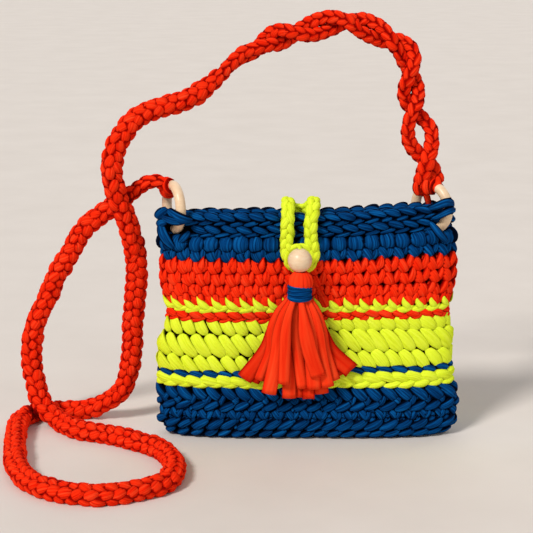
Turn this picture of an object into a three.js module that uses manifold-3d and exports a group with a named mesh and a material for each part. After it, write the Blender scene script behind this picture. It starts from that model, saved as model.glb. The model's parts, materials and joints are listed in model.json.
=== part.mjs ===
// Crocheted crossbody bag in thick jersey yarn.
// A banded pouch, two wooden rings, a bead and tassel closure and a long cord strap.
// Millimetres, +Z up, front faces -Y, origin at the middle of the flat base.
import * as THREE from "three";
import { mergeVertices } from "three/addons/utils/BufferGeometryUtils.js";
import Module from "manifold-3d";

const wasm = await Module();
wasm.setup();

// Pouch, with its colour bands from the bottom up
const bagHalfWidth = 128;
const baseHalfDepth = 23;
const rimHalfDepth = 14.5;
const wall = 9;
const floorThickness = 9;
const baseRounding = 12;
const baseInsetSide = 14;
const baseInsetFront = 5;
const navyBaseHeight = 51;
const yellowBandHeight = 58;
const redBandHeight = 49;
const navyTopHeight = 38;
const rightCornerLift = 7;

// Stitches
const stitches = 28;
const stitchRelief = 3.2;
const stitchRipple = 2.4;
const stitchZig = 0.35;
const rimCrown = 3;
const gapWidth = 4;
const gapHeight = 5;

// Chain stripes laid in grooves over the joins between bands
const stripeDepth = 4.5;
const stripeRipple = 1.4;
const yellowChainHeight = 12.4;
const navyLineHeight = 3.7;
const redChainHeight = 10;
const yellowSpikeHeight = 6.8;

// Clearances
const seatGap = 0.3;
const runningGap = 0.6;

// Wooden rings
const ringRadius = 18.2;
const ringRod = 4.3;
const ringAboveRim = 2.5;
const leftRingInset = 16.5;
const rightRingInset = 23;
const leftRingYaw = 22;
const rightRingYaw = 41;

// Yarn tabs that hold each ring against the wall
const tabRadius = 4.2;
const leftTabReach = 15;
const rightTabReach = 11;
const leftTabBelowRim = 6;
const rightTabBelowRim = -3;
const tabKnee = 0.68;

// Closure loop, bead and tassel
const closureX = -6.3;
const loopRadius = 4.7;
const loopSpread = 9.6;
const loopAboveRim = 13;
const beadBelowRim = 35;
const beadRadius = 10;
const beadHole = 2.4;
const beadCordRadius = 1.9;
const anchorAboveBead = 6;
const anchorSeat = 6;
const tasselHeadRadius = 9;
const tasselHeadHeight = 17;
const tasselWrapHeight = 8.5;
const tasselWrapThickness = 1.7;
const tasselWrapTurns = 3;
const stripLayers = 3;
const stripColumns = 5;
const stripTopWidth = 3.4;
const stripWidth = 9;
const stripThickness = 2.8;
const stripPitch = 3.8;
const layerPitch = 3.5;
const stripLength = 84;
const stripFlare = 1.15;
const fanAngle = 32;

// Strap
const strapRadius = 6.8;
const twistStrandRadius = 5;
const strapEnd = { width: 12.5, depth: 10.5, height: 10 };
const rightEndOffset = 4;
const strapRunSteps = 52;
const twistSteps = 28;
const twistLead = 9;
const strapRunPoints = [
  [-113, 1, 217], [-123, 3, 219], [-132, 6, 219], [-139, 9, 215], [-148, 12, 208], [-158, 14, 201],
  [-168, 16, 194], [-177, 17, 187], [-186, 18, 180], [-194, 20, 170], [-204, 22, 152], [-215, 24, 134],
  [-223, 26, 116], [-232, 27, 98], [-238, 28, 79], [-240, 28, 61], [-238, 26, 43], [-234, 22, 26],
  [-226, 16, 14], [-214, 8, 7], [-197, -13, 7], [-183, -21, 7], [-168, -27, 7], [-154, -35, 7],
  [-140, -46, 7], [-125, -59, 7], [-115, -75, 7], [-108, -98, 7], [-108, -125, 7], [-113, -140, 7],
  [-125, -150, 7], [-137, -158, 7], [-160, -165, 7], [-185, -161, 7], [-207, -148, 7], [-224, -127, 7],
  [-235, -98, 7], [-242, -62, 7], [-247, -26, 7], [-249, 6, 7], [-243, 27, 7], [-230, 36, 7],
  [-217, 37, 7], [-203, 38, 7], [-190, 38, 9], [-178, 35, 15], [-167, 33, 22], [-160, 32, 31],
  [-156, 30, 42], [-153, 29, 54], [-151, 27, 71], [-150, 24, 90], [-147, 19, 113], [-145, 13, 137],
  [-145, 8, 156], [-148, 2, 174], [-152, -3, 192], [-157, -6, 205], [-160, -8, 217], [-162, -8, 230],
  [-161, -6, 241], [-158, -3, 252], [-150, 1, 264], [-140, 4, 274], [-129, 6, 279], [-116, 8, 283],
  [-102, 10, 287], [-91, 12, 293],
];
const twistPoints = [
  [-69, 12, 311], [-61, 11, 319], [-52, 10, 327], [-43, 9, 330], [-32, 12, 332], [-22, 18, 333],
  [-13, 22, 338], [-5, 21, 346], [4, 17, 351], [15, 13, 355], [25, 10, 355], [34, 9, 351],
  [43, 10, 344], [53, 14, 339], [63, 17, 335], [73, 17, 336], [82, 13, 334], [87, 8, 328],
  [88, 4, 320], [85, 2, 311], [81, 4, 301], [81, 8, 290], [86, 11, 281], [94, 9, 274],
  [101, 6, 267], [104, 2, 258], [103, -1, 249], [100, -4, 240], [97, -3, 229], [95, -2, 218],
];
const tailPoints = [
  [-57, 18, 310], [-50, 19, 318], [-43, 20, 326], [-38, 22, 334], [-31, 20, 341], [-22, 13, 345],
  [-12, 9, 343], [-2, 10, 341], [7, 13, 341], [17, 16, 344], [26, 19, 348], [35, 20, 352],
  [45, 18, 353], [54, 14, 351], [62, 10, 346], [68, 6, 339], [73, 6, 330], [78, 10, 322],
  [84, 13, 313], [89, 12, 305], [92, 7, 296], [91, 2, 287], [87, -1, 278], [84, 0, 269],
  [84, 2, 259], [87, 4, 250], [94, 6, 242], [101, 7, 236], [106, 4, 229], [109, 2, 220],
];

// Facets
const ringSides = 8;
const ringSteps = 24;
const cordSides = 8;
const turnedSteps = 14;

// Heights and places that follow from the sizes above
const yellowJoin = navyBaseHeight;
const redJoin = yellowJoin + yellowBandHeight;
const navyJoin = redJoin + redBandHeight;
const bagHeight = navyJoin + navyTopHeight;
const yellowChain = stripeAt(yellowJoin - yellowChainHeight / 2, yellowChainHeight);
const navyLine = stripeAt(yellowChain.top + seatGap, navyLineHeight);
const redChain = stripeAt(redJoin - redChainHeight / 2, redChainHeight);
const yellowSpike = stripeAt(redChain.top + seatGap, yellowSpikeHeight);
const ringCentreHeight = bagHeight + ringAboveRim;
const ringTop = ringCentreHeight + ringRadius;
const leftRingX = leftRingInset - bagHalfWidth;
const rightRingX = bagHalfWidth - rightRingInset;
const leftRing = ringPlace(leftRingX, leftRingYaw);
const rightRing = ringPlace(rightRingX, rightRingYaw);
const leftEndCentre = [leftRingX - 2, 1, ringTop + 1];
const rightEndCentre = [rightRingX - rightEndOffset, 0, ringTop + 2];
const loopTop = bagHeight + loopAboveRim;
const beadHeight = bagHeight - beadBelowRim;
const beadDepth = loopDepth(beadHeight) - loopRadius - runningGap - beadRadius;
const anchorHeight = beadHeight + beadRadius + anchorAboveBead;
const headTop = beadHeight - beadRadius - runningGap;
const wrapTop = headTop - tasselHeadHeight;
const wrapBottom = wrapTop - tasselWrapHeight;
const stripEndDepth = -frontFace(wrapBottom - stripLength) - runningGap - (stripLayers * layerPitch) / 2;

const navyYarn = { color: 0x0d4180, roughness: 0.9, metalness: 0 };
const redYarn = { color: 0xf2330f, roughness: 0.9, metalness: 0 };
const yellowYarn = { color: 0xdff52e, roughness: 0.9, metalness: 0 };
const paleWood = { color: 0xe8c99c, roughness: 0.55, metalness: 0 };

const bag = new THREE.Group();

function addPiece(name, geometry, finish) {
  const mesh = new THREE.Mesh(geometry, new THREE.MeshStandardMaterial(finish));
  mesh.name = name;
  bag.add(mesh);
}

// Closed solids from geometry, and back again

function closed(geometry) {
  geometry.deleteAttribute("normal");
  geometry.deleteAttribute("uv");
  return mergeVertices(geometry, 1e-3);
}

function toSolid(geometry) {
  const merged = closed(geometry);
  const mesh = new wasm.Mesh({
    numProp: 3,
    vertProperties: new Float32Array(merged.attributes.position.array),
    triVerts: new Uint32Array(merged.index.array),
  });
  return new wasm.Manifold(mesh);
}

function toGeometry(solid) {
  const mesh = solid.getMesh();
  const geometry = new THREE.BufferGeometry();
  geometry.setAttribute("position", new THREE.BufferAttribute(mesh.vertProperties, 3));
  geometry.setIndex(new THREE.BufferAttribute(mesh.triVerts, 1));
  return geometry;
}

// Shape of the pouch

function stripeAt(bottom, height) {
  return { bottom, top: bottom + height };
}

// A quarter of the plan outline, from the middle of the front to the right end.
class PlanQuarter extends THREE.Curve {
  constructor(halfWidth, halfDepth) {
    super();
    this.halfWidth = halfWidth;
    this.halfDepth = halfDepth;
  }

  getPoint(t, target = new THREE.Vector3()) {
    const turn = (t * Math.PI) / 2;
    const across = Math.sin(turn);
    const depth = Math.cos(turn) * Math.sqrt(1 + across * across);
    return target.set(this.halfWidth * across, -this.halfDepth * depth, 0);
  }
}

// The outline at a share of the way round from the front middle, mirrored exactly from one quarter.
function outlinePoint(quarter, share) {
  const turn = (share - Math.floor(share)) * 4;
  const side = Math.floor(turn);
  const along = side % 2 === 0 ? turn - side : 1 - (turn - side);
  const point = quarter.getPointAt(along);
  if (side >= 2) point.x = -point.x;
  if (side === 1 || side === 2) point.y = -point.y;
  return point;
}

// Straight fall from base to rim, rounded in towards the flat bottom.
function halfSizes(height) {
  const rise = Math.max(0, 1 - height / baseRounding);
  const inset = 1 - Math.sqrt(1 - rise * rise);
  const halfDepth = THREE.MathUtils.lerp(baseHalfDepth, rimHalfDepth, height / bagHeight);
  return {
    halfWidth: bagHalfWidth - baseInsetSide * inset,
    halfDepth: halfDepth - baseInsetFront * inset,
  };
}

// The strap pulls the right corner of the rim upwards.
function cornerLift(x, height) {
  const across = THREE.MathUtils.smoothstep(x, 0, bagHalfWidth);
  const up = THREE.MathUtils.smoothstep(height, bagHeight / 2, bagHeight);
  return rightCornerLift * across * up;
}

// Distance from the middle plane to the front wall's reference face.
function frontFace(height) {
  return halfSizes(height).halfDepth;
}

// Middle of the front wall's thickness at a place across the bag.
function wallMiddle(x, height) {
  const { halfWidth, halfDepth } = halfSizes(height);
  const across = Math.min(1, Math.abs(x) / (halfWidth - wall / 2));
  return -(halfDepth - wall / 2) * Math.sqrt(1 - across ** 4);
}

// One closed band of stitches. Each course is one level of its section, up the outside and down the inside:
// out is the offset from the outline, ripple swings it in and out from stitch to stitch, zig up and down.
function crochetBand(courses) {
  const columns = stitches * 2;
  const ring = courses[0].spine ? courses : [...courses, courses[0]];
  const section = ring.map((course) => new THREE.Vector2(1, course.z));
  const geometry = new THREE.LatheGeometry(section, columns);
  const position = geometry.attributes.position;
  ring.forEach((course, level) => {
    const { halfWidth, halfDepth } = halfSizes(course.z);
    const swing = (course.ripple ?? 0) / 2;
    const quarters = [1, -1].map((sign) => {
      const out = course.out + sign * swing;
      return new PlanQuarter(halfWidth + out, halfDepth + out);
    });
    for (let column = 0; column <= columns; column += 1) {
      const parity = column % 2;
      const point = outlinePoint(quarters[parity], column / columns);
      if (course.spine) point.y = 0;
      const z = course.z + (course.zig ?? 0) * (parity - 0.5);
      position.setXYZ(column * ring.length + level, point.x, point.y, z + cornerLift(point.x, course.z));
    }
  });
  return toSolid(geometry);
}

// Evenly spaced rows of stitches: each row is a ridge that zigzags, with a valley between it and the next.
// Rows with a flat valley stay level, to leave room for gaps.
function stitchRows(count, bottom, top, valleyHeight = 0) {
  const rise = (top - bottom) / count;
  const zig = valleyHeight > 0 ? 0 : rise * stitchZig;
  const courses = [];
  for (let row = 0; row < count; row += 1) {
    if (row > 0) {
      const valley = { out: -stitchRelief, ripple: -stitchRipple / 2, zig };
      const z = bottom + rise * row;
      courses.push({ ...valley, z: z - valleyHeight / 2 });
      if (valleyHeight > 0) courses.push({ ...valley, z: z + valleyHeight / 2 });
    }
    courses.push({ z: bottom + rise * (row + 0.5), out: -stitchRipple / 2, ripple: stitchRipple, zig });
  }
  return courses;
}

function innerFace(bottom, top) {
  return [
    { z: top, out: -wall },
    { z: bottom, out: -wall },
  ];
}

// Bands of the pouch

const navyBaseRows = 3;
const yellowRows = 3;
const redRows = 3;
const navyTopRows = 3;
const yellowRowsBottom = navyLine.top + seatGap;
const yellowRowsTop = redChain.bottom - seatGap;

function navyBase() {
  const groove = yellowChain.bottom - seatGap;
  return crochetBand([
    { z: 0, out: -wall, spine: true },
    { z: 0, out: 0 },
    ...stitchRows(navyBaseRows, 0, groove),
    { z: groove, out: -stitchRelief },
    { z: groove, out: -stripeDepth - seatGap },
    { z: yellowJoin, out: -stripeDepth - seatGap },
    { z: yellowJoin, out: -wall },
    { z: floorThickness, out: -wall },
    { z: floorThickness, out: -wall - 1, spine: true },
  ]);
}

function yellowBand() {
  const bottom = yellowJoin + seatGap;
  const band = crochetBand([
    { z: bottom, out: -stripeDepth - seatGap },
    { z: yellowRowsBottom, out: -stripeDepth - seatGap },
    { z: yellowRowsBottom, out: -stitchRelief },
    ...stitchRows(yellowRows, yellowRowsBottom, yellowRowsTop, gapHeight + 2 * seatGap),
    { z: yellowRowsTop, out: -stitchRelief },
    { z: yellowRowsTop, out: -stripeDepth - seatGap },
    { z: redJoin, out: -stripeDepth - seatGap },
    ...innerFace(bottom, redJoin),
  ]);
  return band.subtract(stitchGaps());
}

// Open gaps between the long slanted stitches of the wide yellow band, one to a stitch in every valley.
function stitchGaps() {
  let gaps = null;
  for (let row = 1; row < yellowRows; row += 1) {
    const height = THREE.MathUtils.lerp(yellowRowsBottom, yellowRowsTop, row / yellowRows);
    const { halfWidth, halfDepth } = halfSizes(height);
    const quarter = new PlanQuarter(halfWidth - wall / 2, halfDepth - wall / 2);
    for (let stitch = 0; stitch < stitches; stitch += 1) {
      const share = (stitch + 0.25) / stitches;
      const middle = outlinePoint(quarter, share);
      const ahead = outlinePoint(quarter, share + 0.1 / stitches);
      const facing = Math.atan2(ahead.y - middle.y, ahead.x - middle.x);
      const prism = new THREE.BoxGeometry(gapWidth, wall * 1.8, gapHeight);
      prism.rotateZ(facing);
      prism.translate(middle.x, middle.y, height);
      const gap = toSolid(prism);
      gaps = gaps ? gaps.add(gap) : gap;
    }
  }
  return gaps;
}

function redBand() {
  const bottom = redJoin + seatGap;
  const groove = yellowSpike.top + seatGap;
  return crochetBand([
    { z: bottom, out: -stripeDepth - seatGap },
    { z: groove, out: -stripeDepth - seatGap },
    { z: groove, out: -stitchRelief },
    ...stitchRows(redRows, groove, navyJoin),
    { z: navyJoin, out: -stitchRelief },
    ...innerFace(bottom, navyJoin),
  ]);
}

function navyTop() {
  const bottom = navyJoin + seatGap;
  const shoulder = bagHeight - rimCrown;
  return crochetBand([
    { z: bottom, out: -stitchRelief },
    ...stitchRows(navyTopRows, bottom, shoulder),
    { z: shoulder, out: -stitchRelief / 2 },
    { z: bagHeight, out: -wall / 2, zig: rimCrown / 2 },
    ...innerFace(bottom, shoulder),
  ]);
}

// The space that the wall under the rim takes up, with room around it for what is laid against it.
function rimWall() {
  const bottom = navyJoin;
  const top = bagHeight + rimCrown;
  return crochetBand([
    { z: bottom, out: seatGap },
    { z: top, out: seatGap },
    { z: top, out: -wall - seatGap },
    { z: bottom, out: -wall - seatGap },
  ]);
}

// A chain stripe: two rows of leaves that lean in and out by turns.
function chainStripe({ bottom, top }) {
  const third = (top - bottom) / 3;
  return crochetBand([
    { z: bottom, out: -stripeDepth },
    { z: bottom + third, out: -stripeRipple / 2, ripple: stripeRipple, zig: -third / 2 },
    { z: top - third, out: -stripeRipple / 2, ripple: -stripeRipple, zig: -third / 2 },
    { z: top, out: -stripeDepth },
  ]);
}

// Rings and what holds them

function ringPlace(x, yaw) {
  const frame = new THREE.Object3D();
  frame.position.set(x, 0, ringCentreHeight);
  frame.rotation.set(0, 0, THREE.MathUtils.degToRad(yaw));
  frame.updateMatrix();
  return frame.matrix;
}

// A torus whose axis lies along X before it is turned into place.
function ringShape(place, rod) {
  const section = [];
  for (let side = 0; side <= ringSides; side += 1) {
    const turn = (side / ringSides) * 2 * Math.PI;
    section.push(new THREE.Vector2(ringRadius + rod * Math.cos(turn), rod * Math.sin(turn)));
  }
  const torus = new THREE.LatheGeometry(section, ringSteps);
  torus.rotateZ(Math.PI / 2);
  torus.applyMatrix4(place);
  return torus;
}

function solidRing(place) {
  return toSolid(ringShape(place, ringRod));
}

function ringChannel(place) {
  return toSolid(ringShape(place, ringRod + runningGap));
}

function roundSection(radius) {
  const shape = new THREE.Shape();
  for (let side = 0; side < cordSides; side += 1) {
    const turn = (side / cordSides) * 2 * Math.PI;
    const move = side === 0 ? "moveTo" : "lineTo";
    shape[move](radius * Math.cos(turn), radius * Math.sin(turn));
  }
  return shape;
}

function tube(points, radius, steps) {
  const path = new THREE.CatmullRomCurve3(points, false, "centripetal");
  const options = { steps, extrudePath: path, bevelEnabled: false };
  return new THREE.ExtrudeGeometry(roundSection(radius), options);
}

// A strand of the rim's yarn that arches over the front limb of a ring, with both feet in the wall.
function ringTab(place, belowRim, reach) {
  const height = bagHeight - belowRim;
  const limb = new THREE.Vector3(0, -ringRadius, 0).applyMatrix4(place);
  const crown = limb.y - ringRod - tabRadius;
  const furthest = bagHalfWidth - wall / 2;
  const side = (sign) => {
    const x = THREE.MathUtils.clamp(limb.x + sign * reach, -furthest, furthest);
    const foot = new THREE.Vector3(x, wallMiddle(x, height), height);
    const knee = new THREE.Vector3(limb.x + sign * reach * tabKnee, (crown + foot.y) / 2, height);
    return [foot, knee];
  };
  const points = [...side(-1), new THREE.Vector3(limb.x, crown, height), ...side(1).reverse()];
  const strand = toSolid(tube(points, tabRadius, 8));
  return largest(strand.subtract(rimWall()).subtract(ringChannel(place)));
}

function largest(solid) {
  const bodies = solid.decompose();
  return bodies.reduce((best, body) => (body.volume() > best.volume() ? body : best));
}

// Closure loop, bead and tassel

function loopDepth(height) {
  return -frontFace(height) - seatGap - loopRadius;
}

// From a crosspiece on the back of the rim, over the mouth and down the front, to a turn under the bead.
function closureLoop() {
  const onBack = rimHalfDepth - wall / 2;
  const crossHeight = bagHeight + rimCrown / 4 + seatGap + loopRadius;
  const halfway = (bagHeight + beadHeight) / 2;
  const turnHeight = beadHeight - beadRadius;
  const half = [
    [seatGap / 2, onBack, crossHeight],
    [loopSpread * 0.6, onBack, crossHeight],
    [loopSpread, onBack / 2, (crossHeight + loopTop) / 2],
    [loopSpread, 0, loopTop],
    [loopSpread, loopDepth(bagHeight) + loopRadius, loopTop - loopRadius / 4],
    [loopSpread, loopDepth(bagHeight), loopTop - loopRadius * 2],
    [loopSpread, loopDepth(halfway), halfway],
    [loopSpread * 1.1, loopDepth(beadHeight), beadHeight],
    [loopSpread * 0.7, loopDepth(turnHeight), turnHeight],
    [0, loopDepth(turnHeight), turnHeight - loopRadius],
  ];
  const right = half.map(([x, y, z]) => new THREE.Vector3(closureX + x, y, z));
  const left = half.slice(0, -1).reverse().map(([x, y, z]) => new THREE.Vector3(closureX - x, y, z));
  return tube([...right, ...left], loopRadius, 36);
}

function bead() {
  const section = [];
  const start = Math.asin(beadHole / beadRadius);
  const steps = 8;
  for (let step = 0; step <= steps; step += 1) {
    const turn = start + ((Math.PI - 2 * start) * step) / steps;
    section.push([beadRadius * Math.sin(turn), beadHeight - beadRadius * Math.cos(turn)]);
  }
  section.push(section[0]);
  return turnedPiece(section);
}

// The cord comes out of its hole in the wall between the loop's strands, and turns down to the tassel.
function beadCord() {
  const wallFace = -frontFace(anchorHeight);
  const points = [
    [wallFace + anchorSeat, anchorHeight],
    [wallFace, anchorHeight],
    [(wallFace + beadDepth) / 2, anchorHeight],
    [beadDepth + beadCordRadius, beadHeight + beadRadius + 2 * beadCordRadius],
    [beadDepth, beadHeight + beadRadius],
    [beadDepth, beadHeight],
    [beadDepth, headTop + seatGap],
  ].map(([y, z]) => new THREE.Vector3(closureX, y, z));
  return tube(points, beadCordRadius, 10);
}

function cordHole() {
  const radius = beadCordRadius + seatGap;
  const hole = new THREE.CylinderGeometry(radius, radius, 2 * anchorSeat, cordSides);
  hole.translate(closureX, seatGap - frontFace(anchorHeight), anchorHeight);
  return toSolid(hole);
}

// Folded yarn above the binding, with the neck that the binding grips.
function tasselHead() {
  const neck = tasselHeadRadius - tasselWrapThickness;
  const outline = [
    [0, wrapBottom + seatGap],
    [neck, wrapBottom + seatGap],
    [neck, wrapTop],
    [tasselHeadRadius, wrapTop + tasselHeadHeight * 0.3],
    [tasselHeadRadius, wrapTop + tasselHeadHeight * 0.6],
    [tasselHeadRadius * 0.7, wrapTop + tasselHeadHeight * 0.88],
    [0, headTop],
  ];
  return turnedPiece(outline);
}

function tasselWrap() {
  const inner = tasselHeadRadius - tasselWrapThickness + seatGap;
  const outer = tasselHeadRadius + tasselWrapThickness;
  const waist = tasselHeadRadius + tasselWrapThickness / 2;
  const bottom = wrapBottom + seatGap;
  const top = wrapTop - seatGap;
  const outline = [[inner, bottom], [waist, bottom]];
  for (let turn = 0; turn < tasselWrapTurns; turn += 1) {
    outline.push([outer, THREE.MathUtils.lerp(bottom, top, (turn + 0.5) / tasselWrapTurns)]);
    outline.push([waist, THREE.MathUtils.lerp(bottom, top, (turn + 1) / tasselWrapTurns)]);
  }
  outline.push([inner, top], [inner, bottom]);
  return turnedPiece(outline);
}

// A piece turned about the upright line through the bead and the tassel.
function turnedPiece(outline) {
  const section = outline.map(([radius, height]) => new THREE.Vector2(radius, height));
  const shape = new THREE.LatheGeometry(section, turnedSteps);
  shape.rotateX(Math.PI / 2);
  shape.translate(closureX, beadDepth, 0);
  return toSolid(shape);
}

// One cut strip of the tassel: narrow where it is tied, wide at its end, swung outwards and back to the wall.
function tasselStrip(layer, column) {
  const shape = new THREE.BoxGeometry(1, 1, 1, 1, 1, 6);
  const position = shape.attributes.position;
  const place = column - (stripColumns - 1) / 2 + (layer - (stripLayers - 1) / 2) / stripLayers;
  const swing = THREE.MathUtils.degToRad((2 * fanAngle * place) / stripColumns);
  const layerDepth = (layer - (stripLayers - 1) / 2) * layerPitch;
  for (let index = 0; index < position.count; index += 1) {
    const along = 0.5 - position.getZ(index);
    const width = THREE.MathUtils.lerp(stripTopWidth, stripWidth, along);
    const sway = stripPitch * place + stripLength * Math.sin(swing) * along ** stripFlare;
    const drop = stripLength * Math.cos(swing) * along;
    const across = position.getX(index) * width;
    const depth = THREE.MathUtils.lerp(beadDepth, stripEndDepth, along) + layerDepth;
    position.setXYZ(
      index,
      closureX + sway + across * Math.cos(swing * along),
      depth + position.getY(index) * stripThickness,
      wrapBottom - drop + across * Math.sin(swing * along),
    );
  }
  return shape;
}

// Strap

// The strap from the left ring to where its tail starts to wind round it.
function strapRun() {
  const points = strapRunPoints.map((point) => new THREE.Vector3(...point));
  const [joint, next] = twistPoints.map((point) => new THREE.Vector3(...point));
  const along = next.clone().sub(joint).normalize();
  points.push(joint.clone().addScaledVector(along, -seatGap - twistLead));
  points.push(joint.clone().addScaledVector(along, -seatGap));
  const run = toSolid(tube(points, strapRadius, strapRunSteps));
  return largest(run.subtract(strapEndLump(leftEndCentre, seatGap)));
}

// One of the two strands that wind round each other above the right ring.
function twistStrand(strandPoints) {
  const points = strandPoints.map((point) => new THREE.Vector3(...point));
  const strand = toSolid(tube(points, twistStrandRadius, twistSteps));
  return largest(strand.subtract(strapEndLump(rightEndCentre, seatGap)));
}

// The strap's end, folded over the top of a ring and sewn to itself.
function strapEndLump(centre, proud = 0) {
  const lump = new THREE.SphereGeometry(1, 12, 8);
  lump.scale(strapEnd.width + proud, strapEnd.depth + proud, strapEnd.height + proud);
  lump.rotateX(Math.PI / 2);
  lump.translate(...centre);
  return toSolid(lump);
}

const ringChannels = ringChannel(leftRing).add(ringChannel(rightRing));

addPiece("navy_base", toGeometry(navyBase()), navyYarn);
addPiece("yellow_chain_stripe", toGeometry(chainStripe(yellowChain)), yellowYarn);
addPiece("navy_line_stripe", toGeometry(chainStripe(navyLine)), navyYarn);
addPiece("yellow_band", toGeometry(yellowBand()), yellowYarn);
addPiece("red_chain_stripe", toGeometry(chainStripe(redChain)), redYarn);
addPiece("yellow_spike_stripe", toGeometry(chainStripe(yellowSpike)), yellowYarn);
addPiece("red_band", toGeometry(redBand()), redYarn);
addPiece("navy_top_band", toGeometry(navyTop().subtract(ringChannels).subtract(cordHole())), navyYarn);

addPiece("ring_left", toGeometry(solidRing(leftRing)), paleWood);
addPiece("ring_right", toGeometry(solidRing(rightRing)), paleWood);
addPiece("ring_tab_left", toGeometry(ringTab(leftRing, leftTabBelowRim, leftTabReach)), navyYarn);
addPiece("ring_tab_right", toGeometry(ringTab(rightRing, rightTabBelowRim, rightTabReach)), navyYarn);

addPiece("closure_loop", closureLoop(), yellowYarn);
addPiece("bead", toGeometry(bead()), paleWood);
addPiece("bead_cord", beadCord(), yellowYarn);
addPiece("tassel_head", toGeometry(tasselHead()), redYarn);
addPiece("tassel_wrap", toGeometry(tasselWrap()), navyYarn);
for (let layer = 0; layer < stripLayers; layer += 1) {
  for (let column = 0; column < stripColumns; column += 1) {
    const number = String(layer * stripColumns + column + 1).padStart(2, "0");
    addPiece(`tassel_strip_${number}`, tasselStrip(layer, column), redYarn);
  }
}

const leftEnd = strapEndLump(leftEndCentre).subtract(ringChannels);
const rightEnd = strapEndLump(rightEndCentre).subtract(ringChannels);
addPiece("strap_end_left", toGeometry(leftEnd), redYarn);
addPiece("strap_end_right", toGeometry(rightEnd), redYarn);
addPiece("strap_run", toGeometry(strapRun()), redYarn);
addPiece("strap_twist", toGeometry(twistStrand(twistPoints)), redYarn);
addPiece("strap_tail", toGeometry(twistStrand(tailPoints)), redYarn);

export default bag;
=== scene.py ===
"""Looks of a crocheted crossbody bag in thick jersey yarn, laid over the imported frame.

Lengths are in millimetres until a mesh is made, and angles in degrees.
The front faces -Y, +Z is up, and the origin is the middle of the base.
"""
import json
import math
from functools import partial

import bpy
import numpy as np
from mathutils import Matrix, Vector
from mathutils.bvhtree import BVHTree


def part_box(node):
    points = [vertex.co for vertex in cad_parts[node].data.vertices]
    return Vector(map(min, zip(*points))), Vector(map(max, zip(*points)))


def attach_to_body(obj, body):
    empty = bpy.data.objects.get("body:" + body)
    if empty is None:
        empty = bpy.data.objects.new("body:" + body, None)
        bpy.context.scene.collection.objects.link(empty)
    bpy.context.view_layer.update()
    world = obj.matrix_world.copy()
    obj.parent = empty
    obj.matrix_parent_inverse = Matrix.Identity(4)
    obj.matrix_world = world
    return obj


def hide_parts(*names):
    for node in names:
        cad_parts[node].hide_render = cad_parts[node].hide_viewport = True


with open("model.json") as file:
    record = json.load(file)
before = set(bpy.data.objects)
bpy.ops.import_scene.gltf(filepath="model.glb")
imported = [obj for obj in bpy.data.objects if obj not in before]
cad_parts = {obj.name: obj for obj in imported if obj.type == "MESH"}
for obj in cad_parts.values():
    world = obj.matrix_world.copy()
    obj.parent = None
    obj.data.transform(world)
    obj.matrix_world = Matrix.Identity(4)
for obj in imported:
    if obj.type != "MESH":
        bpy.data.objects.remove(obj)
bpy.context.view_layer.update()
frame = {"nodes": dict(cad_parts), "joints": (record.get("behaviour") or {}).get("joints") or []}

joints = {joint["name"]: joint for joint in frame["joints"]}
chance = np.random.default_rng(11)

MM = 0.001
UP = np.array([0.0, 0.0, 1.0])
FRONT = np.array([0.0, -1.0, 0.0])

# Pouch
HALF_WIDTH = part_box("red_band")[1].x / MM
BASE_HALF_DEPTH = 23.0
RIM_HALF_DEPTH = 14.5
BAG_HEIGHT = 196.0
WALL = 9.0
EDGE_RELIEF = 2.5
WAIST_PINCH = 5.0
WAIST_HEIGHT = 114.0
WAIST_REACH = 14.0
SHOULDER_PINCH = 2.6
LEFT_BELLY = 2.4
BELLY_HEIGHT = 74.0
BELLY_REACH = 20.0
BASE_ROUNDING = 20.0
LEFT_TUCK = 2.6
BASE_FLARE_LEFT = 2.0
BASE_FLARE_RIGHT = 6.0
BASE_INSET_SIDE = 17.0
BASE_INSET_FRONT = 5.0
RIGHT_CORNER_LIFT = 7.0
LEFT_SAG = 4.5

# Where a change in the wall's shape sets in or dies away: heights, and places across for the sag
SHOULDER_STARTS = (150.0, 168.0)
TUCK_STARTS = (84.0, 98.0)
TUCK_ENDS = (158.0, 172.0)
FLARE_ENDS = (34.0, 56.0)
SLACK_STARTS = (44.0, 60.0)
SLACK_ENDS = (92.0, 120.0)
SAG_ENDS = (-40.0, 25.0)

# Strands, and how far hand-made stitches differ in size, place, height and offset
SIZE_SPREAD = 0.05
STITCH_SPREAD = 0.035
HEIGHT_SPREAD = 0.35
OUT_SPREAD = 0.25
STITCH_RINGS = 9
LOWEST = 0.3
END_TAPER = 0.55
TEXTURE_SPREAD = 900.0
TEXTURE_SLANT = 0.37
# Painted shade along strand edges and under other strands, where rays from a point meet another strand
EDGE_SHADE = 1.4
BURIED_PAINTED_LIGHT = 0.45
RAY_START = 0.3
RAY_REACH = 9.0
DRIFT_STARTS = (-25.0, 30.0)
DRIFT_RETURNS = 0.55
BELT_OUT = -6.3
BELT_COLUMNS = 96
BELT_STEP = 6.0
V_FAT = 5.5
V_SLIM = 3.6

# Rings
RING_RADIUS = 18.2
RING_ROD = 4.3
RING_CLEAR = 0.4

# Closure
BEAD_RADIUS = 10.0
BEAD_HOLE = 2.2
LOOP_HALF = np.array([5.6, 4.4])
LOOP_PITCH = 8.4
LOOP_MIDDLE_Z = 175.0
COLLAR_RADIUS = 10.4
COLLAR_DROP = 1.0
COLLAR_Y = -23.3
BEAD_CENTRE = np.array(joints["bead_spin"]["pos_m"]) / MM
STRIP_TOP = 130.5
STRIP_THICK = 0.75
STRIP_NECK = 2.8
STRIP_RINGS = 21

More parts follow.
